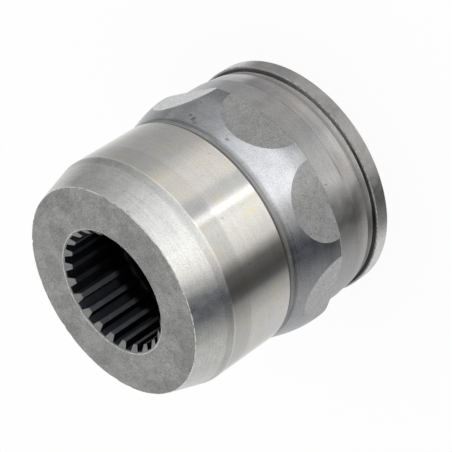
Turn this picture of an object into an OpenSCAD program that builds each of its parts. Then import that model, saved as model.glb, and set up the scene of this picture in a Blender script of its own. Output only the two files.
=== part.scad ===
// Drive shaft coupler with a splined socket and a fixed ball joint.
// The axis is Z, the part stands on its boot-side face at Z = 0, and the splined nose points up.
// X runs through the middle of one of the milled flats.

/* [Overall] */
// Length from the boot-side face to the nose face
length = 73.3; // [72:0.1:80]

/* [Nose and seal journal] */
// Diameter of the journal that the shaft seal runs on
journal_d = 70; // [66:0.1:78]
// Length of the lead-in taper between the nose face and the journal
taper_len = 11.3; // [6:0.1:13]
// Drop of the taper, on the radius
taper_drop = 3.35; // [2:0.05:5]
// Length of the seal journal
journal_len = 22.1; // [18:0.1:23]
// Width of the relief between the journal and the cone
relief_w = 2; // [1:0.1:3]
// Depth of the relief below the journal
relief_depth = 0.45; // [0.3:0.05:0.8]

/* [Cone, crest and flats] */
// Height of the crest over the journal, on the radius
crest_rise = 3; // [2.4:0.05:4]
// Slope of the cone against the axis
cone_angle = 17; // [15:0.5:18]
// Radius that blends the cone into the crest
crest_blend_r = 31; // [20:0.5:36]
// Width of the cylindrical land at the crest
crest_land_w = 0.4; // [0.2:0.1:2]
// Rounding of the crest's edge above the shoulder
crest_edge_r = 1.2; // [0.8:0.1:2]
// Slope of the shoulder behind the crest against the axis
shoulder_angle = 70; // [50:1:75]
// Number of milled flats and of ball tracks
track_count = 8; // [6:1:8]
// Depth of the flats below the crest
flat_depth = 1.9; // [1:0.05:1.9]

/* [Boot end] */
// Drop from the crest to the cylinder behind it, on the radius
shoulder_drop = 2; // [1.95:0.05:2.6]
// Length of the stepped-down neck in front of the boot groove
rear_step_len = 8; // [4:0.1:9]
// Depth of that step, on the radius
rear_step = 0.2; // [0.1:0.05:0.4]
// Width of the boot groove
groove_w = 0.7; // [0.5:0.1:2]
// Depth of the boot groove below the neck's end
groove_depth = 0.4; // [0.2:0.05:0.8]
// Radius of the long rounding by which the neck runs down to the boot groove
neck_r = 34; // [24:0.5:60]
// Height of the lip at the end over the cylinder, on the radius
lip_rise = 0.25; // [0:0.05:0.6]
// Width of the lip at the end
lip_w = 4.6; // [3.5:0.1:5.5]
// Diameter of the cavity's mouth at the boot-side face
mouth_d = 56; // [54:0.5:58]

/* [Splined socket] */
// Number of teeth
spline_teeth = 23; // [20:1:26]
// Diameter across the tips of the teeth
spline_tip_d = 34; // [33:0.1:34.5]
// Depth of the teeth
spline_depth = 1.65; // [1.3:0.05:1.8]
// Turn of the teeth against the middle of a flat
spline_turn = -3.4; // [-7.8:0.1:7.8]
// Length of the teeth from the nose face
spline_len = 20; // [16:0.5:21]
// Diameter of the chamfer's mouth in the nose face
socket_mouth_d = 38.2; // [37.6:0.1:40]
// Length of the lead-in chamfer
socket_chamfer = 1.6; // [1:0.1:2.4]
// Diameter of the plain bore behind the teeth
socket_relief_d = 37.8; // [37.4:0.1:38.2]
// Depth of the socket from the nose face to the core plug
socket_len = 28.5; // [27.5:0.1:29.5]
// Wire diameter of the retaining ring in the socket
hub_ring_wire = 1.8; // [1.4:0.1:2]
// Thickness of the O-ring in the socket
oring_section = 2.6; // [2:0.1:3]
// Diameter of the grooves for the retaining ring and the O-ring
socket_groove_d = 40; // [39.6:0.1:40.4]

/* [Core plug] */
// Outer diameter of the cup
plug_d = 40; // [38.6:0.1:41]
// Height of the cup
plug_h = 3; // [2.6:0.1:3.1]
// Thickness of its sheet
plug_wall = 1.5; // [1:0.1:2]

/* [Ball joint] */
// Distance from the boot-side face to the joint's centre
joint_z = 21.3; // [20:0.1:22.5]
// Diameter of the balls
ball_d = 12.7; // [12:0.1:13]
// Outer radius of the cage
cage_outer_r = 25.95; // [25.5:0.05:26.4]
// Wall of the cage
cage_wall = 5.9; // [5:0.1:6.2]
// Length of the cage along the axis
cage_len = 18; // [16.5:0.5:19]
// Length of a cage window round the cage
window_len = 13.5; // [13.2:0.1:14]
// Length of the inner race along the axis
race_len = 18; // [16:0.5:19]
// Number of teeth in the inner race
race_teeth = 23; // [20:1:26]
// Wall between the roots of those teeth and the ball tracks
race_web = 4.27; // [4:0.01:5]
// Depth of those teeth
race_depth = 1.2; // [0.8:0.1:1.3]
// Wire diameter of the circlip in the inner race
circlip_wire = 1.6; // [1.2:0.1:1.8]
// Tilt of the cage at the stop, half of the joint's angle
tilt_max = 10; // [6:0.5:11]

/* [Clearances] */
// Radial clearance between spherical guides
guide_clearance = 0.05; // [0.03:0.01:0.08]
// Radial clearance of a ball in its tracks
track_clearance = 0.18; // [0.16:0.01:0.25]
// Clearance of a ball in its window, each side
window_clearance = 0.03; // [0.02:0.01:0.06]
// Clearance of a ring or a plug at its seat
seat_clearance = 0.02; // [0.01:0.01:0.05]

/* [Edges] */
// Broken edge of turned corners
edge = 0.4; // [0.2:0.1:0.6]
// Fillet at the foot of the shoulder
foot_fillet = 0.6; // [0.3:0.1:1]

/* [Hidden] */
$fn = 96;
over = 1;

// Radii outside
journal_r = journal_d / 2;
nose_face_r = journal_r - taper_drop;
relief_r = journal_r - relief_depth;
cone_start_r = relief_r + 0.2;
crest_r = journal_r + crest_rise;
flat_r = crest_r - flat_depth;
rear_r = crest_r - shoulder_drop;
step_r = rear_r - rear_step;
lip_r = rear_r + lip_rise;

// Places along the axis
taper_z = length - taper_len;
journal_z = taper_z - journal_len;
relief_z = journal_z - relief_w;
cone_rise = tan(cone_angle);
blend_drop = crest_blend_r * (1 - cos(cone_angle));
blend_len = crest_blend_r * sin(cone_angle);
cone_len = (crest_r - blend_drop - cone_start_r) / cone_rise;
cone_z = relief_z - cone_len;
crest_z = cone_z - blend_len;
shoulder_top_z = crest_z - crest_land_w;
crest_edge_drop = crest_edge_r * (1 - cos(shoulder_angle));
crest_edge_len = crest_edge_r * sin(shoulder_angle);
shoulder_len = crest_edge_len + (shoulder_drop - crest_edge_drop) / tan(shoulder_angle);
shoulder_foot_z = shoulder_top_z - shoulder_len;
groove_z = lip_w;
groove_top_z = lip_w + groove_w;
neck_len = rear_step_len - edge;
neck_angle = asin(neck_len / neck_r);
groove_r = step_r - neck_r * (1 - cos(neck_angle)) - groove_depth;
step_z = groove_top_z + rear_step_len;

// Ball joint
housing_guide_r = cage_outer_r + guide_clearance;
cage_inner_r = cage_outer_r - cage_wall;
ball_pitch_r = (cage_outer_r + cage_inner_r) / 2;
race_r = cage_inner_r - guide_clearance;
track_r = ball_d / 2 + track_clearance;
race_root_r = ball_pitch_r - track_r - race_web;
race_tip_d = 2 * (race_root_r - race_depth);
cage_edge_angle = asin(cage_len / 2 / cage_outer_r);
guide_angle = cage_edge_angle + tilt_max + 0.5;
guide_drop = housing_guide_r * sin(guide_angle);
pocket_r = housing_guide_r * cos(guide_angle);
track_end_angle = acos((pocket_r - 0.3) / (ball_pitch_r + track_r));
race_track_angle = asin((race_len / 2 + over) / (ball_pitch_r - track_r));
floor_depth = (ball_pitch_r + track_r) * sin(track_end_angle) + 0.7;
cavity_floor_z = joint_z + floor_depth;
cavity_shoulder_z = joint_z + guide_drop;

// Places in the splined socket
socket_floor_z = length - socket_len;
hub_ring_z = length - spline_len - hub_ring_wire;
oring_z = socket_floor_z + oring_section;
hub_ring_seat_w = hub_ring_wire + 4 * seat_clearance;
oring_seat_w = oring_section + 0.8;
circlip_z = joint_z + race_len / 2 - 2 * circlip_wire;

// A polygon's points for a blend between two directions, from a centre
function arc(cx, cy, r, from, to, steps) =
    [for (i = [0 : steps]) let (t = from + (to - from) * i / steps) [cx + r * cos(t), cy + r * sin(t)]];

// Outline of a toothed hole: wide spaces outside, tips on the inner circle
module toothed_outline(teeth, tip_r, depth) {
    pitch = 360 / teeth;
    tip_half = pitch * 0.16;
    root_half = pitch * 0.29;
    polygon([
        for (i = [0 : teeth - 1])
            for (p = [[tip_r, tip_half], [tip_r + depth, root_half],
                      [tip_r + depth, pitch - root_half], [tip_r, pitch - tip_half]])
                [p[0] * cos(i * pitch + p[1]), p[0] * sin(i * pitch + p[1])]
    ]);
}

// A ball's path about the joint's centre, in the plane at angle a, to the same reach both ways
module track_cutter(a, reach) {
    translate([0, 0, joint_z])
        rotate([90, 0, a])
            rotate([0, 0, -reach])
                rotate_extrude(angle = 2 * reach)
                    translate([ball_pitch_r, 0]) circle(r = track_r);
}

function track_angle(i) = (i + 0.5) * 360 / track_count;

module housing_outline() {
    polygon(concat(
        [[0, 0], [lip_r - edge, 0], [lip_r, edge], [lip_r, lip_w - edge / 2],
         [lip_r - edge / 2, lip_w], [groove_r, groove_z], [groove_r, groove_top_z]],
        arc(step_r - neck_r, groove_top_z + neck_len, neck_r, -neck_angle, 0, 12),
        [[step_r, step_z], [rear_r, step_z + rear_step]],
        arc(rear_r + foot_fillet, shoulder_foot_z - foot_fillet * tan(shoulder_angle / 2), foot_fillet,
            180, 180 - shoulder_angle, 4),
        arc(crest_r - crest_edge_r, shoulder_top_z, crest_edge_r, -shoulder_angle, 0, 8),
        arc(crest_r - crest_blend_r, crest_z, crest_blend_r, 0, cone_angle, 10),
        [[cone_start_r, relief_z], [relief_r, relief_z + relief_w / 4],
         [relief_r, journal_z - edge],
         [journal_r - edge / 4, journal_z], [journal_r, journal_z + edge / 2],
         [journal_r, taper_z],
         [nose_face_r, length - edge / 2], [nose_face_r - edge / 2, length], [0, length]]
    ));
}

module flat_cutters() {
    flat_w = 2 * crest_r * sin(180 / track_count) + 2 * over;
    for (i = [0 : track_count - 1])
        rotate([0, 0, i * 360 / track_count])
            translate([flat_r, -flat_w / 2, shoulder_foot_z - over])
                cube([crest_r, flat_w, relief_z - shoulder_foot_z]);
}

// Countersink that opens from radius inner_r to mouth_r over its depth, at Z = 0, opening upwards.
// It runs on past both ends, so that it meets teeth and spheres at a clean edge.
module countersink(inner_r, mouth_r, depth) {
    slope = (mouth_r - inner_r) / depth;
    run_in = over / max(slope, 1);
    translate([0, 0, -depth - run_in])
        cylinder(r1 = inner_r - run_in * slope, r2 = mouth_r + over * slope, h = depth + run_in + over);
}

// Everything turned inside, from the boot-side face up to the nose face
module housing_bore() {
    plug_seat_r = plug_d / 2 + seat_clearance;
    translate([0, 0, joint_z])
        sphere(r = housing_guide_r);
    mirror([0, 0, 1])
        countersink(pocket_r, mouth_d / 2, joint_z - guide_drop);
    translate([0, 0, cavity_shoulder_z - over])
        cylinder(r = pocket_r, h = cavity_floor_z - cavity_shoulder_z + over);
    translate([0, 0, cavity_floor_z - over])
        cylinder(r = plug_seat_r, h = socket_floor_z - cavity_floor_z + over);
    translate([0, 0, socket_floor_z - over])
        cylinder(d = socket_relief_d, h = socket_len - spline_len + over);
    translate([0, 0, length - spline_len - over])
        linear_extrude(height = spline_len + 2 * over)
            rotate(spline_turn) toothed_outline(spline_teeth, spline_tip_d / 2, spline_depth);
    translate([0, 0, length])
        countersink(spline_tip_d / 2, socket_mouth_d / 2, socket_chamfer);
    translate([0, 0, hub_ring_z - hub_ring_seat_w / 2])
        cylinder(d = socket_groove_d, h = hub_ring_seat_w);
    translate([0, 0, oring_z - oring_seat_w / 2])
        cylinder(d = socket_groove_d, h = oring_seat_w);
}

module coupler_housing() {
    color([0.58, 0.57, 0.55])
        difference() {
            rotate_extrude() housing_outline();
            housing_bore();
            flat_cutters();
            for (i = [0 : track_count - 1])
                track_cutter(track_angle(i), track_end_angle);
        }
}

// Sheet-steel cup pressed into the housing from the cavity
module core_plug() {
    color([0.62, 0.6, 0.5])
        translate([0, 0, socket_floor_z - plug_h])
            difference() {
                cylinder(d = plug_d, h = plug_h);
                translate([0, 0, -over])
                    cylinder(d = plug_d - 2 * plug_wall, h = plug_h - plug_wall + over);
            }
}

// Open wire ring
module wire_ring(mean_r, wire, gap_angle) {
    rotate([0, 0, gap_angle / 2])
        rotate_extrude(angle = 360 - gap_angle)
            translate([mean_r, 0]) circle(d = wire, $fn = 24);
}

module hub_retaining_ring() {
    color([0.3, 0.3, 0.32])
        translate([0, 0, hub_ring_z])
            wire_ring(socket_groove_d / 2 - seat_clearance - hub_ring_wire / 2, hub_ring_wire, 24);
}

module hub_oring() {
    color([0.08, 0.08, 0.08])
        translate([0, 0, oring_z])
            rotate_extrude()
                translate([socket_groove_d / 2 - seat_clearance - oring_section / 2, 0])
                    circle(d = oring_section);
}

module ball_cage() {
    window_h = ball_d + 2 * window_clearance;
    corner_r = 3;
    color([0.42, 0.4, 0.38])
        translate([0, 0, joint_z])
            difference() {
                intersection() {
                    sphere(r = cage_outer_r);
                    cylinder(r = cage_outer_r + over, h = cage_len, center = true);
                }
                sphere(r = cage_inner_r);
                for (i = [0 : track_count - 1])
                    rotate([0, 0, track_angle(i)])
                        translate([cage_inner_r / 2, 0, 0])
                            rotate([90, 0, 90])
                                window_cutter(window_len, window_h, corner_r);
            }
}

// A rounded window, cut outwards
module window_cutter(len, h, corner_r) {
    depth = cage_outer_r;
    translate([-len / 2, -h / 2 + corner_r, 0])
        cube([len, h - 2 * corner_r, depth]);
    translate([-len / 2 + corner_r, -h / 2, 0])
        cube([len - 2 * corner_r, h, depth]);
    for (sx = [-1, 1])
        for (sy = [-1, 1])
            translate([sx * (len / 2 - corner_r), sy * (h / 2 - corner_r), 0])
                cylinder(r = corner_r, h = depth);
}

module inner_race() {
    chamfer = race_depth + edge;
    tip_r = race_tip_d / 2;
    mouth_r = tip_r + chamfer;
    color([0.5, 0.5, 0.5])
        difference() {
            translate([0, 0, joint_z])
                intersection() {
                    sphere(r = race_r);
                    cylinder(r = race_r + over, h = race_len, center = true);
                }
            for (i = [0 : track_count - 1])
                track_cutter(track_angle(i), race_track_angle);
            translate([0, 0, joint_z - race_len / 2 - over])
                linear_extrude(height = race_len + 2 * over)
                    toothed_outline(race_teeth, tip_r, race_depth);
            for (side = [0, 1])
                translate([0, 0, joint_z])
                    mirror([0, 0, side])
                        translate([0, 0, race_len / 2])
                            countersink(tip_r, mouth_r, chamfer);
            translate([0, 0, circlip_z - circlip_wire / 2 - 2 * seat_clearance])
                cylinder(r = tip_r + race_depth + circlip_wire / 2,
                         h = circlip_wire + 4 * seat_clearance);
        }
}

module shaft_circlip() {
    color([0.3, 0.3, 0.32])
        translate([0, 0, circlip_z])
            wire_ring(race_tip_d / 2 + race_depth - seat_clearance, circlip_wire, 30);
}

module ball(i) {
    color([0.7, 0.7, 0.72])
        translate([0, 0, joint_z])
            rotate([0, 0, track_angle(i)])
                translate([ball_pitch_r, 0, 0])
                    sphere(d = ball_d);
}

coupler_housing();
core_plug();
hub_retaining_ring();
hub_oring();
ball_cage();
inner_race();
shaft_circlip();
ball(0);  // ball_1
ball(1);  // ball_2
ball(2);  // ball_3
ball(3);  // ball_4
ball(4);  // ball_5
ball(5);  // ball_6
ball(6);  // ball_7
ball(7);  // ball_8
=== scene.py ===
"""Drive shaft coupler: the finish of its steel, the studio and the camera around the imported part."""

import math

import bpy
import mathutils
from mathutils import Matrix, Vector


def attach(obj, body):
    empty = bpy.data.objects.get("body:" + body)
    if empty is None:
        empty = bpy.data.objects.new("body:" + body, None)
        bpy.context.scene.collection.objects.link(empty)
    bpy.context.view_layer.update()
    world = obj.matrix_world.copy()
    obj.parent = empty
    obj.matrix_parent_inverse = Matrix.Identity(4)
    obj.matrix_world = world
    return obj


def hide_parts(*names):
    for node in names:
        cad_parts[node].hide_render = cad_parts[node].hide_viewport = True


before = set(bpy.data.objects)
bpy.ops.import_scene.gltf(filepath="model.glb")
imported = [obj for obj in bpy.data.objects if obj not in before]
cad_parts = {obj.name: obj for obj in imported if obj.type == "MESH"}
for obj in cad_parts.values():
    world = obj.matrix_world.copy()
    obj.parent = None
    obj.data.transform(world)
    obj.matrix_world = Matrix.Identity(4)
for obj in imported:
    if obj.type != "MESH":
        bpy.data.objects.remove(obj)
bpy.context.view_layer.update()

MM = 0.001
TURN = 2 * math.pi

# Sizes of the housing in millimetres, from the boot-side face up
LENGTH = 73.3
JOURNAL_R = 35.0
TAPER_LEN = 11.3
TAPER_DROP = 3.35
JOURNAL_LEN = 22.1
RELIEF_W = 2.0
RELIEF_DEPTH = 0.45
CONE_STEP = 0.2
CREST_R = 38.0
CONE_ANGLE = math.radians(17)
CREST_BLEND_R = 31.0
CREST_LAND_W = 0.4
CREST_EDGE_R = 1.2
SHOULDER_DROP = 2.0
SHOULDER_ANGLE = math.radians(70)
FLAT_R = 36.1
STEP_LEN = 8.0
STEP_DEPTH = 0.2
GROOVE_W = 0.7
GROOVE_DEPTH = 0.4
NECK_R = 34.0
LIP_RISE = 0.25
LIP_W = 4.6
MOUTH_R = 28.0
EDGE = 0.4
FOOT_FILLET = 0.6

# Splined socket
TEETH = 23
TOOTH_TURN = math.radians(-3.4)
TIP_R = 17.0
ROOT_R = 18.65
TIP_SHARE = 0.16
ROOT_SHARE = 0.29
SPLINE_LEN = 20.0
SOCKET_MOUTH_R = 19.1
SOCKET_CHAMFER = 1.6
MOUTH_RIM = 0.15
SOCKET_RELIEF_R = 18.9
SOCKET_LEN = 28.5
SOCKET_GROOVE_R = 20.0
RING_GROOVE_Z = 51.5
RING_GROOVE_W = 1.88
SEAL_GROOVE_Z = 47.4
SEAL_GROOVE_W = 3.4
PLUG_SEAT_R = 20.02

# Ball joint
TRACKS = 8
JOINT_Z = 21.3
GUIDE_R = 26.0
GUIDE_ANGLE = math.radians(30.79)
POCKET_R = GUIDE_R * math.cos(GUIDE_ANGLE)
BALL_PITCH_R = 23.0
TRACK_R = 6.53
TRACK_INSET = 0.3
FLOOR_MARGIN = 0.7
TRACK_REACH = math.acos((POCKET_R - TRACK_INSET) / (BALL_PITCH_R + TRACK_R))
CAVITY_FLOOR_Z = JOINT_Z + (BALL_PITCH_R + TRACK_R) * math.sin(TRACK_REACH) + FLOOR_MARGIN

# Steps round a full turn, round a ball track's section, and along the outline's arcs
TURN_STEPS = 240
TRACK_STEPS = 40
NECK_STEPS = 12
FILLET_STEPS = 4
EDGE_STEPS = 8
BLEND_STEPS = 10
GUIDE_STEPS = 24
SMOOTH_ANGLE = math.radians(11)

# Cutters, in millimetres: how far they run past what they cut, and how thick the flats' are
OVERCUT = 1.0
FLAT_CUTTER_DEPTH = 10.0
BROACH_RUN_OUT = 0.4
BROACH_EXTRA = 2.0
MERGE = 0.002

# Nicks in the outer edges: how far they reach, their spacing, and how much of the edge stays whole
NICK_REACH = 0.8
NICK_SPACING = 2.1
NICK_LEVEL = 0.12
NICK_GAIN = 2
NOSE_NICKS = 0.3
LIP_NICKS = 0.08

# What tells the housing's faces apart: distances in millimetres, and parts of the face's direction
ON_FACE = 0.01
ON_EDGE = 0.02
ON_REAR = 0.05
NEAR = 0.1
LEVEL = 0.99
SQUARE = 0.9999
SLOPED = 0.3
TILTED = 0.1
CAVITY_R = 30.02

# Heights that part the housing's finishes
TAPER_Z = LENGTH - TAPER_LEN
JOURNAL_Z = TAPER_Z - JOURNAL_LEN
RELIEF_Z = JOURNAL_Z - RELIEF_W
GROOVE_TOP_Z = LIP_W + GROOVE_W
NECK_LEN = STEP_LEN - EDGE
NECK_Z = GROOVE_TOP_Z + NECK_LEN
DULL_NECK_LEN = 2.2
NECK_END_Z = GROOVE_TOP_Z + DULL_NECK_LEN
NECK_ANGLE = math.asin(NECK_LEN / NECK_R)
STEP_Z = GROOVE_TOP_Z + STEP_LEN

# Radii and heights of the housing's outside that follow from the sizes
RELIEF_R = JOURNAL_R - RELIEF_DEPTH
CONE_START_R = RELIEF_R + CONE_STEP
REAR_R = CREST_R - SHOULDER_DROP
STEP_R = REAR_R - STEP_DEPTH
LIP_R = REAR_R + LIP_RISE
NOSE_R = JOURNAL_R - TAPER_DROP
BLEND_DROP = CREST_BLEND_R * (1 - math.cos(CONE_ANGLE))
CONE_Z = RELIEF_Z - (CREST_R - BLEND_DROP - CONE_START_R) / math.tan(CONE_ANGLE)
CREST_Z = CONE_Z - CREST_BLEND_R * math.sin(CONE_ANGLE)
SHOULDER_TOP_Z = CREST_Z - CREST_LAND_W
EDGE_DROP = CREST_EDGE_R * (1 - math.cos(SHOULDER_ANGLE))
EDGE_LEN = CREST_EDGE_R * math.sin(SHOULDER_ANGLE)
FOOT_Z = SHOULDER_TOP_Z - EDGE_LEN - (SHOULDER_DROP - EDGE_DROP) / math.tan(SHOULDER_ANGLE)
FILLET_Z = FOOT_Z - FOOT_FILLET * math.tan(SHOULDER_ANGLE / 2)

# Camera, fitted to the photograph
CAMERA_PLACE = Vector((0.42171, 0.12572, 0.33902))
CAMERA_AIM = Vector((0.00060, -0.00196, 0.02961))
CAMERA_ROLL = math.radians(123.293)
CAMERA_LENS = 151.45
CAMERA_SENSOR = 36.0


def deselect():
    bpy.ops.object.select_all(action="DESELECT")


def only(piece):
    """Makes one object the active and the only selected one."""
    deselect()
    piece.select_set(True)
    bpy.context.view_layer.objects.active = piece


def arc(centre, radius, start, end, steps):
    """Points on an arc in the (radius, height) plane, angles in radians."""
    angles = [start + (end - start) * i / steps for i in range(steps + 1)]
    return [(centre[0] + radius * math.cos(a), centre[1] + radius * math.sin(a)) for a in angles]


def place_camera():
    """Puts the camera where the photograph's was, with its roll."""
    bpy.ops.object.camera_add(location=CAMERA_PLACE)
    camera = bpy.context.object
    camera.name = "photo_camera"
    camera.data.lens = CAMERA_LENS
    camera.data.sensor_width = CAMERA_SENSOR
    ahead = (CAMERA_AIM - CAMERA_PLACE).normalized()
    level_right = ahead.cross(Vector((0, 0, 1))).normalized()
    level_up = level_right.cross(ahead)
    up = level_up * math.cos(CAMERA_ROLL) + level_right * math.sin(CAMERA_ROLL)
    right = ahead.cross(up)
    turn = Matrix((right, up, -ahead)).transposed().to_4x4()
    camera.matrix_world = Matrix.Translation(CAMERA_PLACE) @ turn
    bpy.context.scene.camera = camera


place_camera()


# Turned and cut shapes

def outer_outline():
    """Outline of the housing's outside, from the boot-side face up to the nose face."""
    groove_r = STEP_R - NECK_R * (1 - math.cos(NECK_ANGLE)) - GROOVE_DEPTH
    points = [(LIP_R - EDGE, 0), (LIP_R, EDGE), (LIP_R, LIP_W - NICK_REACH)]
    points += [(LIP_R, LIP_W - EDGE / 2), (LIP_R - EDGE / 2, LIP_W), (STEP_R - EDGE / 4, LIP_W)]
    points += [(groove_r, LIP_W), (groove_r, GROOVE_TOP_Z)]
    points += arc((STEP_R - NECK_R, NECK_Z), NECK_R, -NECK_ANGLE, 0, NECK_STEPS)
    points += [(STEP_R, STEP_Z), (REAR_R, STEP_Z + STEP_DEPTH)]
    fillet_end = math.pi - SHOULDER_ANGLE
    points += arc((REAR_R + FOOT_FILLET, FILLET_Z), FOOT_FILLET, math.pi, fillet_end, FILLET_STEPS)
    edge_centre = (CREST_R - CREST_EDGE_R, SHOULDER_TOP_Z)
    points += arc(edge_centre, CREST_EDGE_R, -SHOULDER_ANGLE, 0, EDGE_STEPS)
    points += arc((CREST_R - CREST_BLEND_R, CREST_Z), CREST_BLEND_R, 0, CONE_ANGLE, BLEND_STEPS)
    points += [(CONE_START_R, RELIEF_Z), (RELIEF_R, RELIEF_Z + RELIEF_W / 4)]
    points += [(RELIEF_R, JOURNAL_Z - EDGE)]
    points += [(JOURNAL_R - EDGE / 4, JOURNAL_Z), (JOURNAL_R, JOURNAL_Z + EDGE / 2)]
    points += [(JOURNAL_R, TAPER_Z)]
    points += [(NOSE_R + NICK_REACH * TAPER_DROP / TAPER_LEN, LENGTH - EDGE / 2 - NICK_REACH)]
    points += [(NOSE_R, LENGTH - EDGE / 2), (NOSE_R - EDGE / 2, LENGTH), (NOSE_R - NICK_REACH, LENGTH)]
    return points


def inner_outline():
    """Outline of the housing's inside, from the nose face down to the boot-side face."""
    spline_z = LENGTH - SPLINE_LEN
    points = [(SOCKET_MOUTH_R + MOUTH_RIM, LENGTH), (SOCKET_MOUTH_R - MOUTH_RIM, LENGTH - MOUTH_RIM)]
    points += [(TIP_R, LENGTH - SOCKET_CHAMFER), (TIP_R, spline_z)]
    points += [(SOCKET_RELIEF_R, spline_z)]
    for middle, width in ((RING_GROOVE_Z, RING_GROOVE_W), (SEAL_GROOVE_Z, SEAL_GROOVE_W)):
        top, bottom = middle + width / 2, middle - width / 2
        points += [(SOCKET_RELIEF_R, top), (SOCKET_GROOVE_R, top), (SOCKET_GROOVE_R, bottom)]
        points += [(SOCKET_RELIEF_R, bottom)]
    socket_floor = LENGTH - SOCKET_LEN
    points += [(SOCKET_RELIEF_R, socket_floor), (PLUG_SEAT_R, socket_floor)]
    points += [(PLUG_SEAT_R, CAVITY_FLOOR_Z), (POCKET_R, CAVITY_FLOOR_Z)]
    points += arc((0, JOINT_Z), GUIDE_R, GUIDE_ANGLE, -GUIDE_ANGLE, GUIDE_STEPS)
    points += [(MOUTH_R, 0)]
    return points


def turn_on_lathe(name, outline):
    """Spins a closed outline of (radius, height) points round the Z axis."""
    deselect()
    bpy.ops.mesh.primitive_plane_add(size=MM)
    piece = bpy.context.object
    piece.name = name
    bpy.ops.object.mode_set(mode="EDIT")
    bpy.ops.mesh.merge(type="CENTER")
    here = Vector((0, 0, 0))
    for radius, height in outline:
        there = Vector((radius, 0, height)) * MM
        if here.length == 0:
            bpy.ops.transform.translate(value=there)
        else:
            bpy.ops.mesh.extrude_vertices_move(TRANSFORM_OT_translate={"value": there - here})
        here = there
    bpy.ops.mesh.select_all(action="DESELECT")
    bpy.ops.object.mode_set(mode="OBJECT")
    piece.data.vertices[0].select = True
    piece.data.vertices[len(outline) - 1].select = True
    bpy.ops.object.mode_set(mode="EDIT")
    bpy.ops.mesh.edge_face_add()
    bpy.ops.mesh.select_all(action="SELECT")
    bpy.ops.mesh.spin(steps=TURN_STEPS, angle=TURN, center=(0, 0, 0), axis=(0, 0, 1))
    bpy.ops.mesh.select_all(action="SELECT")
    bpy.ops.mesh.remove_doubles(threshold=MERGE * MM)
    bpy.ops.mesh.normals_make_consistent(inside=False)
    bpy.ops.object.mode_set(mode="OBJECT")
    return piece


def flat_cutters():
    """Blocks that mill the flats, one for each."""
    half = CREST_R * math.sin(math.pi / TRACKS) + OVERCUT
    low = FOOT_Z - OVERCUT
    size = Vector((FLAT_CUTTER_DEPTH, 2 * half, RELIEF_Z - low)) * MM
    centre = Vector((FLAT_R + FLAT_CUTTER_DEPTH / 2, 0, (low + RELIEF_Z) / 2)) * MM
    cutters = []
    for i in range(TRACKS):
        deselect()
        bpy.ops.mesh.primitive_cube_add(size=1, location=(0, 0, 0))
        block = bpy.context.object
        bpy.ops.object.mode_set(mode="EDIT")
        bpy.ops.transform.resize(value=size)
        bpy.ops.transform.translate(value=centre)
        bpy.ops.object.mode_set(mode="OBJECT")
        block.data.transform(Matrix.Rotation(i * TURN / TRACKS, 4, "Z"))
        cutters.append(block)
    return cutters


def space_cutter():
    """A star-shaped broach that cuts the spaces between the teeth."""
    deselect()
    bpy.ops.mesh.primitive_circle_add(vertices=4 * TEETH, radius=TIP_R * MM, fill_type="NGON")
    broach = bpy.context.object
    pitch = TURN / TEETH
    low = LENGTH - SPLINE_LEN - BROACH_RUN_OUT
    corners = [(TIP_R, TIP_SHARE), (ROOT_R, ROOT_SHARE)]
    corners += [(ROOT_R, 1 - ROOT_SHARE), (TIP_R, 1 - TIP_SHARE)]
    for i in range(TEETH):
        for j, (radius, share) in enumerate(corners):
            angle = TOOTH_TURN + (i + share) * pitch
            place = Vector((radius * math.cos(angle), radius * math.sin(angle), low))
            broach.data.vertices[4 * i + j].co = place * MM
    bpy.ops.object.mode_set(mode="EDIT")
    bpy.ops.mesh.select_all(action="SELECT")
    lift = (0, 0, (SPLINE_LEN + BROACH_EXTRA) * MM)
    bpy.ops.mesh.extrude_region_move(TRANSFORM_OT_translate={"value": lift})
    bpy.ops.mesh.select_all(action="SELECT")
    bpy.ops.mesh.normals_make_consistent(inside=False)
    bpy.ops.object.mode_set(mode="OBJECT")
    return broach


def track_cutters():
    """Curved bars of the balls' size that cut the tracks, each about the joint's centre."""
    cutters = []
    for i in range(TRACKS):
        deselect()
        bpy.ops.mesh.primitive_circle_add(vertices=TRACK_STEPS, radius=TRACK_R * MM, fill_type="NGON")
        bar = bpy.context.object
        bar.data.transform(Matrix.Translation((BALL_PITCH_R * MM, 0, 0)))
        bar.data.transform(Matrix.Rotation(TRACK_REACH, 4, "Y"))
        bpy.ops.object.mode_set(mode="EDIT")
        bpy.ops.mesh.select_all(action="SELECT")
        bpy.ops.mesh.spin(steps=TRACK_STEPS, angle=-2 * TRACK_REACH, center=(0, 0, 0), axis=(0, 1, 0))
        bpy.ops.mesh.select_all(action="SELECT")
        bpy.ops.mesh.remove_doubles(threshold=MERGE * MM)
        bpy.ops.mesh.normals_make_consistent(inside=False)
        bpy.ops.object.mode_set(mode="OBJECT")
        bar.data.transform(Matrix.Rotation((i + 0.5) * TURN / TRACKS, 4, "Z"))
        bar.data.transform(Matrix.Translation((0, 0, JOINT_Z * MM)))
        cutters.append(bar)
    return cutters


def cut(piece, cutters):
    """Takes the cutters' shape out of the piece, and deletes them."""
    only(cutters[0])
    for cutter in cutters:
        cutter.select_set(True)
    if len(cutters) > 1:
        bpy.ops.object.join()
    tool = bpy.context.object
    only(piece)
    modifier = piece.modifiers.new("cut", "BOOLEAN")
    modifier.operation = "DIFFERENCE"
    modifier.solver = "EXACT"
    modifier.object = tool
    bpy.ops.object.modifier_apply(modifier=modifier.name)
    bpy.data.objects.remove(tool, do_unlink=True)


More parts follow.
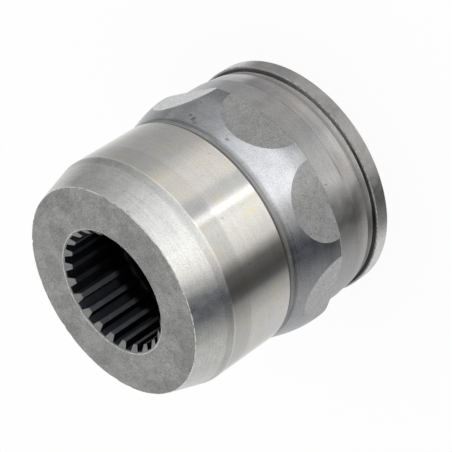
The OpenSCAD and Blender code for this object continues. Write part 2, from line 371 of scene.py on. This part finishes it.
def nick(piece, radius, height, depth):
    """Dents an outer edge here and there, down and inwards, up to a depth in millimetres."""
    for vertex in piece.data.vertices:
        place = vertex.co / MM
        if abs(math.hypot(place.x, place.y) - radius) < ON_EDGE and abs(place.z - height) < ON_EDGE:
            level = mathutils.noise.noise(place / NICK_SPACING)
            dent = max(0, level - NICK_LEVEL) * depth * NICK_GAIN
            outwards = Vector((place.x, place.y, 0)).normalized()
            vertex.co -= (outwards + Vector((0, 0, 1))) * dent * MM / 2


def make_housing():
    """The forged housing, turned, milled and broached."""
    piece = turn_on_lathe("coupler_housing_turned", outer_outline() + inner_outline())
    cut(piece, flat_cutters())
    cut(piece, [space_cutter()])
    cut(piece, track_cutters())
    dress(piece)
    nick(piece, NOSE_R - EDGE / 2, LENGTH, NOSE_NICKS)
    nick(piece, NOSE_R, LENGTH - EDGE / 2, NOSE_NICKS)
    nick(piece, LIP_R - EDGE / 2, LIP_W, LIP_NICKS)
    nick(piece, LIP_R, LIP_W - EDGE / 2, LIP_NICKS)
    only(piece)
    bpy.ops.object.shade_smooth_by_angle(angle=SMOOTH_ANGLE)
    return piece


# Finishes

# How far noise drives a tone, and how uneven it makes the roughness
TONE_GAIN = 3
UNEVEN = 0.35

# Small ring, in millimetres, on which turning lines read their noise so that they run round the part
LINE_RING = 1.2

# Detail of blotches and stains, and the width of the flanks of pits and of stains
BLOT_DETAIL = 4
PIT_FLANK = 0.08
STAIN_FLANK = 0.5


def calc(tree, operation, *values):
    """A Math node on sockets or numbers, and its result."""
    node = tree.nodes.new("ShaderNodeMath")
    node.operation = operation
    for socket, value in zip(node.inputs, values):
        if isinstance(value, bpy.types.NodeSocket):
            tree.links.new(value, socket)
        else:
            socket.default_value = value
    return node.outputs[0]


def noise(tree, place, spacing, detail=2.0):
    """Noise about the middle, -1 to 1, with blots about spacing millimetres apart."""
    node = tree.nodes.new("ShaderNodeTexNoise")
    node.inputs["Scale"].default_value = 1 / (spacing * MM)
    node.inputs["Detail"].default_value = detail
    tree.links.new(place, node.inputs["Vector"])
    return calc(tree, "MULTIPLY_ADD", node.outputs["Fac"], 2, -1)


def window(tree, value, middle, half, soft):
    """1 where the value is within half of the middle, 0 outside, with soft flanks."""
    away = calc(tree, "ABSOLUTE", calc(tree, "SUBTRACT", value, middle))
    rise = tree.nodes.new("ShaderNodeMapRange")
    rise.interpolation_type = "SMOOTHSTEP"
    rise.inputs["From Min"].default_value = half + soft
    rise.inputs["From Max"].default_value = half
    tree.links.new(away, rise.inputs["Value"])
    return rise.outputs[0]


def above(tree, value, level, soft):
    """0 below the level and 1 above it, with a soft flank."""
    rise = tree.nodes.new("ShaderNodeMapRange")
    rise.interpolation_type = "SMOOTHSTEP"
    rise.inputs["From Min"].default_value = level
    rise.inputs["From Max"].default_value = level + soft
    tree.links.new(value, rise.inputs["Value"])
    return rise.outputs[0]


def blend(tree, share, low, high):
    """Mixes two colours by a share, each a socket or a colour."""
    mix = tree.nodes.new("ShaderNodeMix")
    mix.data_type = "RGBA"
    tree.links.new(share, mix.inputs["Factor"])
    for name, colour in (("A", low), ("B", high)):
        if isinstance(colour, bpy.types.NodeSocket):
            tree.links.new(colour, mix.inputs[name])
        else:
            mix.inputs[name].default_value = colour
    return mix.outputs["Result"]


def mark(height, half, soft, tone, angle=0, half_angle=180, soft_angle=5):
    """A band round the housing, or a patch where an angle is given, that changes the tone of a finish.
    Heights are in millimetres and angles in degrees; soft is the width of the flanks."""
    return height, half, soft, tone, angle, half_angle, soft_angle


def finish(name, colour, roughness, metallic=1.0, shine=0.5, blotch=(3.0, 0.06), lines=(0.3, 0.05, 0.6),
           grain=(0.35, 0.05, 0.4), stain=None, pits=(), marks=()):
    """Worked metal. blotch is spacing and tone; lines and grain are spacing in millimetres, tone, and depth
    in thousandths of a millimetre. stain is spacing, strength and colour. Each of pits is spacing, level
    and tone. Each of marks is made by mark. shine is the gloss of a surface that isn't all metal."""
    material = bpy.data.materials.new(name)
    material.use_nodes = True
    tree = material.node_tree
    shader = tree.nodes["Principled BSDF"]
    shader.inputs["Metallic"].default_value = metallic
    shader.inputs["Specular IOR Level"].default_value = shine
    place = tree.nodes.new("ShaderNodeTexCoord").outputs["Object"]
    split = tree.nodes.new("ShaderNodeSeparateXYZ")
    tree.links.new(place, split.inputs[0])
    x, y, z = split.outputs
    square = calc(tree, "ADD", calc(tree, "MULTIPLY", x, x), calc(tree, "MULTIPLY", y, y))
    radius = calc(tree, "SQRT", square)
    angle = calc(tree, "ARCTAN2", y, x)
    wound = tree.nodes.new("ShaderNodeCombineXYZ")
    for socket, side in zip(wound.inputs, (x, y)):
        share = calc(tree, "DIVIDE", side, radius)
        tree.links.new(calc(tree, "MULTIPLY", share, LINE_RING * MM), socket)
    tree.links.new(calc(tree, "ADD", z, radius), wound.inputs[2])
    patch = noise(tree, place, blotch[0], BLOT_DETAIL)
    line = noise(tree, wound.outputs[0], lines[0])
    speck = noise(tree, place, grain[0])
    tone = calc(tree, "MULTIPLY_ADD", patch, blotch[1] * TONE_GAIN, 1)
    tone = calc(tree, "MULTIPLY_ADD", line, lines[1] * TONE_GAIN, tone)
    tone = calc(tree, "MULTIPLY_ADD", speck, grain[1] * TONE_GAIN, tone)
    for spacing, level, pit_tone in pits:
        pit = above(tree, noise(tree, place, spacing, detail=0), level, PIT_FLANK)
        tone = calc(tree, "MULTIPLY", tone, calc(tree, "MULTIPLY_ADD", pit, pit_tone - 1, 1))
    for height, half, soft, mark_tone, turn, half_turn, soft_turn in marks:
        near = window(tree, z, height * MM, half * MM, soft * MM)
        if half_turn < 180:
            turns = [math.radians(value) for value in (turn, half_turn, soft_turn)]
            side = window(tree, angle, *turns)
            near = calc(tree, "MULTIPLY", near, side)
        tone = calc(tree, "MULTIPLY", tone, calc(tree, "MULTIPLY_ADD", near, mark_tone - 1, 1))
    tint = tree.nodes.new("ShaderNodeVectorMath")
    tint.operation = "SCALE"
    if stain:
        cloud = above(tree, noise(tree, place, stain[0], BLOT_DETAIL), 0.0, STAIN_FLANK)
        spread = calc(tree, "MULTIPLY", cloud, stain[1])
        tree.links.new(blend(tree, spread, (*colour, 1), (*stain[2], 1)), tint.inputs[0])
    else:
        tint.inputs[0].default_value = colour
    tree.links.new(tone, tint.inputs["Scale"])
    tree.links.new(tint.outputs[0], shader.inputs["Base Color"])
    uneven = calc(tree, "MULTIPLY_ADD", patch, UNEVEN * roughness, roughness)
    tree.links.new(uneven, shader.inputs["Roughness"])
    height = calc(tree, "MULTIPLY", line, lines[2] * MM / 1000)
    height = calc(tree, "MULTIPLY_ADD", speck, grain[2] * MM / 1000, height)
    bump = tree.nodes.new("ShaderNodeBump")
    bump.inputs["Distance"].default_value = 1
    tree.links.new(height, bump.inputs["Height"])
    tree.links.new(bump.outputs[0], shader.inputs["Normal"])
    return material


# Painted shade in the bore, where its mouth shadows it: deep down all round, and further up on some sides
BORE_PAINTED_SHADE_MARKS = [
    mark(50, 7, 2.5, 0.03), mark(57, 4, 4, 0.2, 32, 138, 20), mark(66, 9, 1, 0.25, 160, 24, 28),
]

# Finishes of the housing, one for each kind of surface that the turning, grinding and milling left.
# Their marks by angle paint highlights and shade on a side where the studio's panels alone don't light or
# shade it.
FINISHES = {
    "nose_face": finish(
        "faced_nose", (0.445, 0.445, 0.432), 0.5, blotch=(3.6, 0.13), lines=(0.5, 0.03, 0.6),
        grain=(0.35, 0.22, 1.8), pits=((9, 0.1, 0.88), (0.6, 0.45, 0.7), (1.4, 0.6, 0.75))),
    # The nose rim's light colour is wear and a painted highlight along the edge
    "nose_rim": finish("worn_nose_rim_painted_highlight", (0.9, 0.9, 0.89), 0.4, blotch=(1.3, 0.55), grain=(0.4, 0.25, 2)),
    "taper": finish(
        "turned_taper", (0.63, 0.63, 0.617), 0.27, blotch=(3, 0.06), lines=(0.35, 0.05, 0.9),
        grain=(0.3, 0.12, 1.2), marks=[mark(63.2, 0.6, 0.8, 0.82)]),
    "journal": finish(
        "polished_journal", (0.605, 0.6, 0.585), 0.13, blotch=(5, 0.04), lines=(0.5, 0.03, 0.15),
        grain=(0.3, 0.08, 0.12), stain=(5, 0.8, (0.6, 0.55, 0.44)), pits=((1.1, 0.55, 0.85),),
        # Marks: a painted highlight along the edge under the taper, then a band of painted shade, darker
        # still on two sides; the thin line lower down is a witness mark of a seal
        marks=[
            mark(61.8, 0.12, 0.12, 1.25), mark(55.5, 0.2, 0.3, 0.92), mark(58.9, 2.5, 1.2, 0.93),
            mark(58.9, 2.5, 1.2, 0.87, 11, 13, 7), mark(58.9, 2.5, 1.2, 0.9, -43, 18, 6),
        ]),
    "relief": finish(
        "turned_relief", (0.28, 0.28, 0.28), 0.4, lines=(0.3, 0.08, 1.5), grain=(0.3, 0.1, 1),
        # Marks: a painted shadow next to the journal's edge, and painted highlights on two sides
        marks=[
            mark(39.5, 0.3, 0.35, 0.5), mark(38, 3, 1, 1.45, 70, 12, 16), mark(38, 3, 1, 1.15, -28, 12, 8),
        ]),
    "cone": finish(
        "turned_cone", (0.56, 0.567, 0.59), 0.27, blotch=(3, 0.07), lines=(0.3, 0.05, 0.9),
        grain=(0.3, 0.13, 1.2), pits=((1.5, 0.66, 0.75), (0.8, 0.52, 0.8)),
        # Marks: painted shade next to the relief, towards the crest and on three sides, besides a thin line
        # and small spots
        marks=[
            mark(37.9, 0.3, 1.1, 0.6), mark(20, 4.7, 4.7, 0.66), mark(21.6, 0.5, 1.2, 0.85),
            mark(30, 20, 1, 0.66, -40, 44, 10), mark(30, 20, 1, 0.83, 64, 10, 8),
            mark(30, 20, 1, 0.76, 94, 8, 8), mark(36.2, 0.05, 0.08, 0.6, -14, 12, 4),
            mark(35.3, 0.5, 0.3, 0.55, 66.6, 0.8, 0.6), mark(34.5, 0.3, 0.3, 0.6, 69.5, 0.7, 0.6),
            mark(36.3, 0.3, 0.3, 0.7, 64.5, 0.8, 0.6), mark(35.6, 0.25, 0.3, 0.6, 46, 0.6, 0.5),
        ]),
    "crest_edge": finish("worn_crest_edge", (0.4, 0.4, 0.41), 0.36, blotch=(2, 0.1)),
    "flat": finish(
        "milled_flat", (0.366, 0.37, 0.37), 0.5, metallic=0.6, shine=0.2, blotch=(2.6, 0.1),
        lines=(0.6, 0.0, 0.0), grain=(0.4, 0.19, 1.6), pits=((0.9, 0.5, 0.72),),
        # Each flat lighter or darker by its angle: painted highlights and painted shade
        marks=[
            mark(26, 20, 1, 0.84, 45, 19, 3), mark(26, 20, 1, 0.88, -12, 9, 13),
            mark(26, 20, 1, 1.15, 14, 3, 6), mark(26, 20, 1, 1.25, -45, 19, 3),
            mark(26, 20, 1, 2.1, 90, 19, 3),
        ]),
    "rear_body": finish(
        "turned_rear", (0.342, 0.342, 0.345), 0.33, blotch=(4, 0.06), lines=(0.3, 0.05, 1.0),
        grain=(0.3, 0.12, 1.0), pits=((1.3, 0.6, 0.7),),
        # Marks by angle: painted highlights and painted shade on the sides
        marks=[
            mark(17, 9, 1, 1.35, 68, 9, 8), mark(17, 9, 1, 1.85, 98, 12, 9),
            mark(17, 9, 1, 0.85, 30, 9, 10), mark(17, 9, 1, 1.35, -2, 6, 8),
            mark(17, 9, 1, 1.12, -50, 20, 8),
        ]),
    "step": finish(
        "turned_step", (0.37, 0.362, 0.364), 0.31, blotch=(4, 0.07), lines=(0.3, 0.06, 1.0),
        grain=(0.3, 0.12, 1.0),
        # A line of painted shade along the step's edge, painted highlights and shade by angle, and a
        # lighter band low down
        marks=[
            mark(12.95, 0.08, 0.12, 0.75, 26, 20, 6), mark(12.95, 0.1, 0.15, 0.9),
            mark(10, 9, 1, 1.95, 94, 18, 9), mark(10, 9, 1, 1.4, -5, 4, 7),
            mark(10, 9, 1, 0.88, 28, 17, 8), mark(8.2, 0.8, 2.4, 1.2),
        ]),
    "neck": finish(
        "dull_neck", (0.33, 0.32, 0.312), 0.6, metallic=0.15, shine=0.3, blotch=(4, 0.07),
        lines=(0.3, 0.1, 1.0), grain=(0.3, 0.12, 1.0),
        # Lighter near the groove as painted light against the shade there, and painted shade on the sides
        # by angle
        marks=[
            mark(5.3, 0.2, 1.6, 1.8), mark(6, 9, 1, 0.5, -15, 9, 14), mark(6, 9, 1, 0.9, 46, 4, 20),
            mark(6, 9, 1, 0.7, 82, 20, 20), mark(6, 9, 1, 0.55, -48, 24, 10),
        ]),
    # The groove's light base is painted light against the shade in it, and its marks by angle are painted
    # shade
    "groove": finish(
        "groove_painted_light_and_shade", (0.86, 0.86, 0.86), 0.7, metallic=0.0, shine=0.1, blotch=(2, 0.1),
        marks=[
            mark(5, 9, 1, 0.6, -15, 7, 14), mark(5, 9, 1, 0.8, 46, 4, 20),
            mark(5, 9, 1, 0.3, 82, 20, 20), mark(5, 9, 1, 0.22, -48, 24, 10),
        ]),
    # The lip's front face in the groove: its dark base and most of its marks are painted shade
    "lip_face": finish(
        "lip_face_painted_shade", (0.15, 0.15, 0.15), 0.7, metallic=0.0, shine=0.1, blotch=(2, 0.1),
        marks=[
            mark(5, 9, 1, 0.3, -8, 14, 14), mark(5, 9, 1, 1.1, 46, 4, 20),
            mark(5, 9, 1, 0.6, 82, 20, 20), mark(5, 9, 1, 0.4, -48, 24, 10),
        ]),
    "lip": finish(
        "turned_lip", (0.335, 0.332, 0.332), 0.36, blotch=(2.2, 0.1), lines=(0.4, 0.06, 1.0),
        grain=(0.3, 0.13, 1.4),
        # Marks by angle: painted highlights and painted shade on the sides
        marks=[
            mark(2.3, 9, 1, 1.15, 62, 10, 8), mark(2.3, 9, 1, 2.6, 106, 17, 14),
            mark(2.3, 9, 1, 2.2, -54, 15, 15), mark(2.3, 9, 1, 1.22, -3, 6, 8),
            mark(2.3, 9, 1, 0.86, 20, 14, 8),
        ]),
    "lip_ring": finish("turned_lip_ring", (0.5, 0.5, 0.5), 0.38, blotch=(2, 0.08)),
    # The lip's chamfered edges: their light colour is a painted highlight along them
    "lip_edge": finish(
        "nicked_lip_edge_painted_highlight", (0.55, 0.55, 0.55), 0.4, blotch=(1.1, 0.35), grain=(0.4, 0.25, 2)),
    "boot_face": finish(
        "faced_boot_end", (0.42, 0.42, 0.41), 0.42, blotch=(3, 0.08), lines=(0.5, 0.07, 1.5)),
    "cavity": finish("ground_cavity", (0.4, 0.4, 0.41), 0.3, blotch=(5, 0.08), lines=(0.4, 0.04, 0.5)),
    "mouth": finish("socket_mouth", (0.36, 0.36, 0.355), 0.45, blotch=(1.2, 0.15), lines=(0.3, 0.05, 1)),
    # The socket mouth's rim: its light colour is a painted highlight along the edge
    "mouth_rim": finish("mouth_rim_painted_highlight", (0.75, 0.75, 0.74), 0.42, blotch=(1.1, 0.25)),
    # The lands' dark base and their marks are painted shade in the bore
    "land": finish(
        "worn_land_with_painted_shade", (0.135, 0.137, 0.15), 0.5, metallic=0.3, shine=0.2, blotch=(2.5, 0.12),
        lines=(0.5, 0.0, 0.0), marks=BORE_PAINTED_SHADE_MARKS),
    # The socket's near-black base and its marks are painted shade in the bore
    "socket": finish(
        "socket_with_painted_shade", (0.042, 0.048, 0.057), 0.5, metallic=0.3, shine=0.2, blotch=(2.5, 0.12),
        lines=(0.5, 0.0, 0.0), marks=BORE_PAINTED_SHADE_MARKS),
    # Flanks that face round one way: near black, painted shade on the side of each tooth that the light
    # doesn't reach
    "painted_shade_flank": finish(
        "painted_shade_flank", (0.003, 0.003, 0.004), 0.7, metallic=0.0, shine=0.05, blotch=(2.5, 0.12)),
    # The bore below the spline: near black, painted shade where the light doesn't reach
    "deep_socket": finish(
        "painted_shade_bore", (0.006, 0.006, 0.007), 0.7, metallic=0.0, shine=0.1, blotch=(2.5, 0.12)),
}


def finish_of(place, normal):
    """The finish of one face of the housing, by the place of its middle and its direction."""
    radius = math.hypot(place.x, place.y) / MM
    height = place.z / MM
    if height < ON_FACE and normal.z < -LEVEL:
        return "boot_face"
    if height > LENGTH - ON_FACE and normal.z > LEVEL:
        return "nose_face"
    if radius < PLUG_SEAT_R + NEAR and height > LENGTH - MOUTH_RIM:
        return "mouth_rim"
    if radius < PLUG_SEAT_R + NEAR and height > CAVITY_FLOOR_Z - NEAR:
        if height > LENGTH - SOCKET_CHAMFER and normal.z > SLOPED:
            return "mouth"
        if height < LENGTH - SPLINE_LEN + NEAR:
            return "deep_socket"
        if radius < TIP_R + NEAR:
            return "land"
        # Flanks that face round one way get painted shade
        tangent = Vector((-place.y, place.x, 0)).normalized()
        return "painted_shade_flank" if normal.dot(tangent) > SLOPED else "socket"
    if radius < CAVITY_R and height < CAVITY_FLOOR_Z:
        return "cavity"
    if height > LENGTH - EDGE / 2:
        return "nose_rim"
    if height > TAPER_Z:
        return "taper"
    if height > JOURNAL_Z + EDGE / 4:
        return "journal"
    if height > RELIEF_Z:
        return "relief"
    turn = round(math.atan2(place.y, place.x) / TURN * TRACKS) * TURN / TRACKS
    outward = Vector((math.cos(turn), math.sin(turn), 0))
    if normal.dot(outward) > SQUARE and abs(place.dot(outward) / MM - FLAT_R) < ON_EDGE:
        return "flat"
    if height > SHOULDER_TOP_Z:
        return "cone"
    if height > FILLET_Z and radius > REAR_R + ON_REAR:
        return "crest_edge"
    if height > STEP_Z + STEP_DEPTH / 2:
        return "rear_body"
    if height > NECK_END_Z:
        return "step"
    if height > GROOVE_TOP_Z + NEAR:
        return "neck"
    if height > LIP_W - ON_FACE and radius < STEP_R - EDGE / 4:
        return "groove" if height > LIP_W + ON_FACE else "lip_face"
    if height > LIP_W - ON_FACE and normal.z > LEVEL:
        return "lip_ring"
    return "lip_edge" if abs(normal.z) > TILTED else "lip"


def dress(piece):
    """Gives each face of the housing its finish."""
    names = list(FINISHES)
    piece.data.materials.clear()
    for name in names:
        piece.data.materials.append(FINISHES[name])
    for face in piece.data.polygons:
        face.material_index = names.index(finish_of(face.center, face.normal))


housing = make_housing()
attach(housing, "housing")
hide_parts("coupler_housing")

# Finishes of the pieces inside, which keep their CAD meshes
INNER_FINISHES = {
    "core_plug": finish("oily_plug", (0.05, 0.05, 0.048), 0.5, metallic=0.2, shine=0.3, blotch=(3, 0.15)),
    # Blued wire, made darker still as painted shade deep in the bore
    "hub_retaining_ring": finish(
        "blued_wire_painted_shade", (0.01, 0.01, 0.012), 0.5, metallic=0.0, shine=0.2, blotch=(2, 0.1)),
    "hub_oring": finish("black_rubber", (0.01, 0.01, 0.01), 0.7, metallic=0.0, shine=0.1, blotch=(2, 0.1)),
    "ball_cage": finish("hardened_cage", (0.3, 0.285, 0.27), 0.34, blotch=(4, 0.1), lines=(0.4, 0.05, 0.6)),
    "inner_race": finish("ground_race", (0.46, 0.46, 0.46), 0.26, blotch=(4, 0.08), lines=(0.4, 0.04, 0.5)),
    "shaft_circlip": finish("blued_circlip", (0.12, 0.12, 0.14), 0.32, blotch=(2, 0.1)),
}
ball_steel = finish("bearing_ball", (0.72, 0.72, 0.74), 0.06, blotch=(5, 0.02), lines=(0.5, 0.0, 0.0),
                    grain=(0.4, 0.01, 0.02))

for node_name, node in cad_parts.items():
    if node_name == "coupler_housing":
        continue
    node.data.materials.clear()
    node.data.materials.append(INNER_FINISHES.get(node_name, ball_steel))


# Studio

# The floor: its side in metres, its tone, and the share of plain white in what the camera sees
FLOOR_SIZE = 6
FLOOR_TONE = (0.9, 0.9, 0.9, 1)
FLOOR_GLOW = 0.92


def lay_floor():
    """A plain pale floor that metal doesn't mirror, so that the sides show the studio's panels."""
    deselect()
    bpy.ops.mesh.primitive_plane_add(size=FLOOR_SIZE)
    floor = bpy.context.object
    floor.name = "studio_floor"
    floor.visible_glossy = False
    material = bpy.data.materials.new("pale_floor")
    material.use_nodes = True
    tree = material.node_tree
    tree.nodes.clear()
    output = tree.nodes.new("ShaderNodeOutputMaterial")
    mix = tree.nodes.new("ShaderNodeMixShader")
    path = tree.nodes.new("ShaderNodeLightPath")
    share = tree.nodes.new("ShaderNodeMath")
    share.operation = "MULTIPLY"
    share.inputs[1].default_value = FLOOR_GLOW
    diffuse = tree.nodes.new("ShaderNodeBsdfDiffuse")
    diffuse.inputs["Color"].default_value = FLOOR_TONE
    glow = tree.nodes.new("ShaderNodeEmission")
    glow.inputs["Strength"].default_value = 1
    tree.links.new(path.outputs["Is Camera Ray"], share.inputs[0])
    tree.links.new(share.outputs[0], mix.inputs[0])
    tree.links.new(diffuse.outputs[0], mix.inputs[1])
    tree.links.new(glow.outputs[0], mix.inputs[2])
    tree.links.new(mix.outputs[0], output.inputs[0])
    floor.data.materials.append(material)


# Panels that upright sides mirror, as (angle from the camera's side in degrees, brightness, warmth)
LOW_PANELS = [
    (-180, 0.9, 0), (-158, 0.84, 0), (-140, 0.62, 0), (-120, 0.51, 0), (-100, 0.53, 0),
    (-80, 0.63, 0.2), (-60, 1.0, 0.7), (-36, 1.1, 0.8), (-32, 1.05, 0.4), (-29, 0.86, -0.2),
    (-19, 0.88, -0.2), (-14.5, 1.15, 0), (-11.5, 2.0, 0), (-8.5, 2.1, 0.2), (-5, 1.2, 0.5),
    (4, 1.38, 0.5), (20, 1.18, 0.6), (32, 0.98, 0.6), (39, 0.5, 0.3), (46, 0.17, 0.3),
    (62, 0.09, 0.3), (71, 0.13, 0), (76, 0.32, 0.2), (84, 0.52, 0.4), (100, 0.74, 0.3),
    (120, 0.8, 0), (150, 0.74, 0), (180, 0.9, 0),
]

# Panels above them, that slopes mirror
MID_PANELS = [
    (-180, 1.1, 0), (-159, 1.1, 0), (-142, 0.72, 0), (-124, 0.38, 0), (-107, 0.41, 0),
    (-90, 0.5, 0), (-72, 0.64, 0), (-54, 0.92, 0), (-36, 1.2, 0), (-18, 1.32, 0), (0, 1.6, 0.1),
    (16, 1.5, 0.4), (27, 1.1, 0.5), (38, 0.5, 0), (48, 0.12, -3.0), (60, 0.07, -3.5),
    (72, 0.26, -1), (90, 0.6, 0.4), (107, 0.75, 0.2), (130, 0.7, 0), (180, 1.1, 0),
]

# The camera's side in degrees, the tone above both rings, and the tint that warmth gives red and blue
CAMERA_SIDE = 16.6
SKY = 0.55
WARM_RED = 0.03
WARM_BLUE = 0.07

# Heights of the mirrored direction at which one ring gives way to the next, and over how much
LOW_TO_MID = (-0.48, 0.16)
MID_TO_SKY = (0.1, 0.3)


def ring_of_panels(tree, way, panels):
    """A colour ramp that runs once round the part."""
    ramp = tree.nodes.new("ShaderNodeValToRGB")
    tree.links.new(way, ramp.inputs[0])
    stops = ramp.color_ramp.elements
    while len(stops) < len(panels):
        stops.new(0.5)
    for stop, (angle, level, warmth) in zip(stops, panels):
        stop.position = (angle + 180) / 360
        stop.color = (level * (1 + WARM_RED * warmth), level, level * (1 - WARM_BLUE * warmth), 1)
    return ramp.outputs["Color"]


def hang_panels():
    """The world: white to the camera and as light, and rings of soft panels to what mirrors it."""
    world = bpy.data.worlds.new("studio")
    bpy.context.scene.world = world
    world.use_nodes = True
    tree = world.node_tree
    tree.nodes.clear()
    output = tree.nodes.new("ShaderNodeOutputWorld")
    background = tree.nodes.new("ShaderNodeBackground")
    place = tree.nodes.new("ShaderNodeTexCoord")
    split = tree.nodes.new("ShaderNodeSeparateXYZ")
    tree.links.new(place.outputs["Generated"], split.inputs[0])
    x, y, z = split.outputs
    way = calc(tree, "MULTIPLY_ADD", calc(tree, "ARCTAN2", y, x), -1 / TURN, CAMERA_SIDE / 360 + 0.5)
    way = calc(tree, "WRAP", way, 1, 0)
    low = ring_of_panels(tree, way, LOW_PANELS)
    mid = ring_of_panels(tree, way, MID_PANELS)
    sides = blend(tree, above(tree, z, *LOW_TO_MID), low, mid)
    mirrored = blend(tree, above(tree, z, *MID_TO_SKY), sides, (SKY, SKY, SKY, 1))
    path = tree.nodes.new("ShaderNodeLightPath")
    seen = blend(tree, path.outputs["Is Glossy Ray"], (1, 1, 1, 1), mirrored)
    tree.links.new(seen, background.inputs["Color"])
    tree.links.new(background.outputs[0], output.inputs["Surface"])


lay_floor()
hang_panels()
bpy.context.scene.view_settings.view_transform = "Standard"
